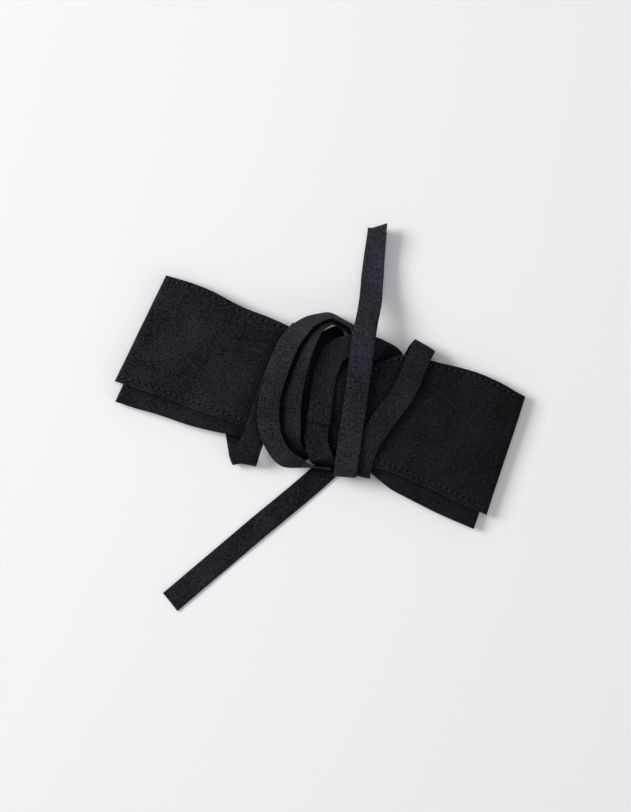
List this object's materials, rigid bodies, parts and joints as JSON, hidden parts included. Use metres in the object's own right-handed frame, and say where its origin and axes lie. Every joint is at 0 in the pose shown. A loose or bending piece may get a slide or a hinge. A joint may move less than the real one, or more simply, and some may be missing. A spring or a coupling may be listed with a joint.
{
  "type": "leather tie belt",
  "caption": "Soft wide leather belt folded flat into a layered roll, its own narrow ties wound round the middle with both free ends laid out",
  "frame": {"origin": "under the middle of the bounding box, on the surface that the belt lies on", "axes": "+X to the right and +Y up as the belt is seen from above, +Z up from the surface; the folded band runs down from left to right"},
  "size_m": [0.2574, 0.2433, 0.0276],
  "materials": {
    "suede": "napped, matt"
  },
  "bodies": {
    "root": {"band": "suede", "upper_tie": "suede", "lower_tie": "suede", "lower_tie_root": "suede"}
  },
  "joints": []
}
